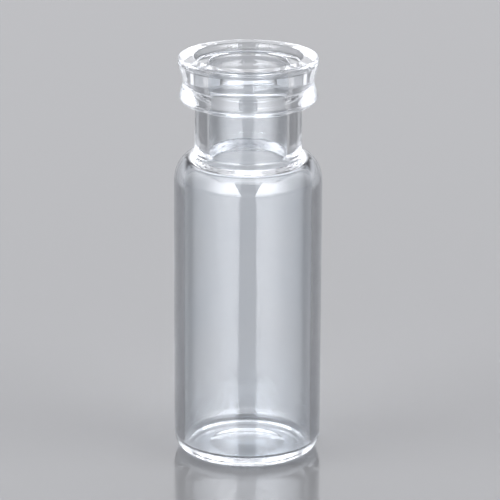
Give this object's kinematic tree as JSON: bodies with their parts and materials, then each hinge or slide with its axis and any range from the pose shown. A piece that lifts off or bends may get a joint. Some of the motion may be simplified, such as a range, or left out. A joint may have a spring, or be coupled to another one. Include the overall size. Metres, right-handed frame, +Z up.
{
  "type": "glass sample vial",
  "caption": "Small clear glass sample vial with a round body, rounded shoulder, short neck and a snap or crimp crown around an open mouth.",
  "frame": {"origin": "centre of the foot, on the surface that the vial stands on", "axes": "+Z up along the vial's axis, out of the mouth; X and Y are any two directions across it"},
  "size_m": [0.0116, 0.0116, 0.032],
  "materials": {
    "clear_glass": "clear fire-polished glass"
  },
  "bodies": {
    "root": {"vial": "clear_glass"}
  },
  "joints": []
}
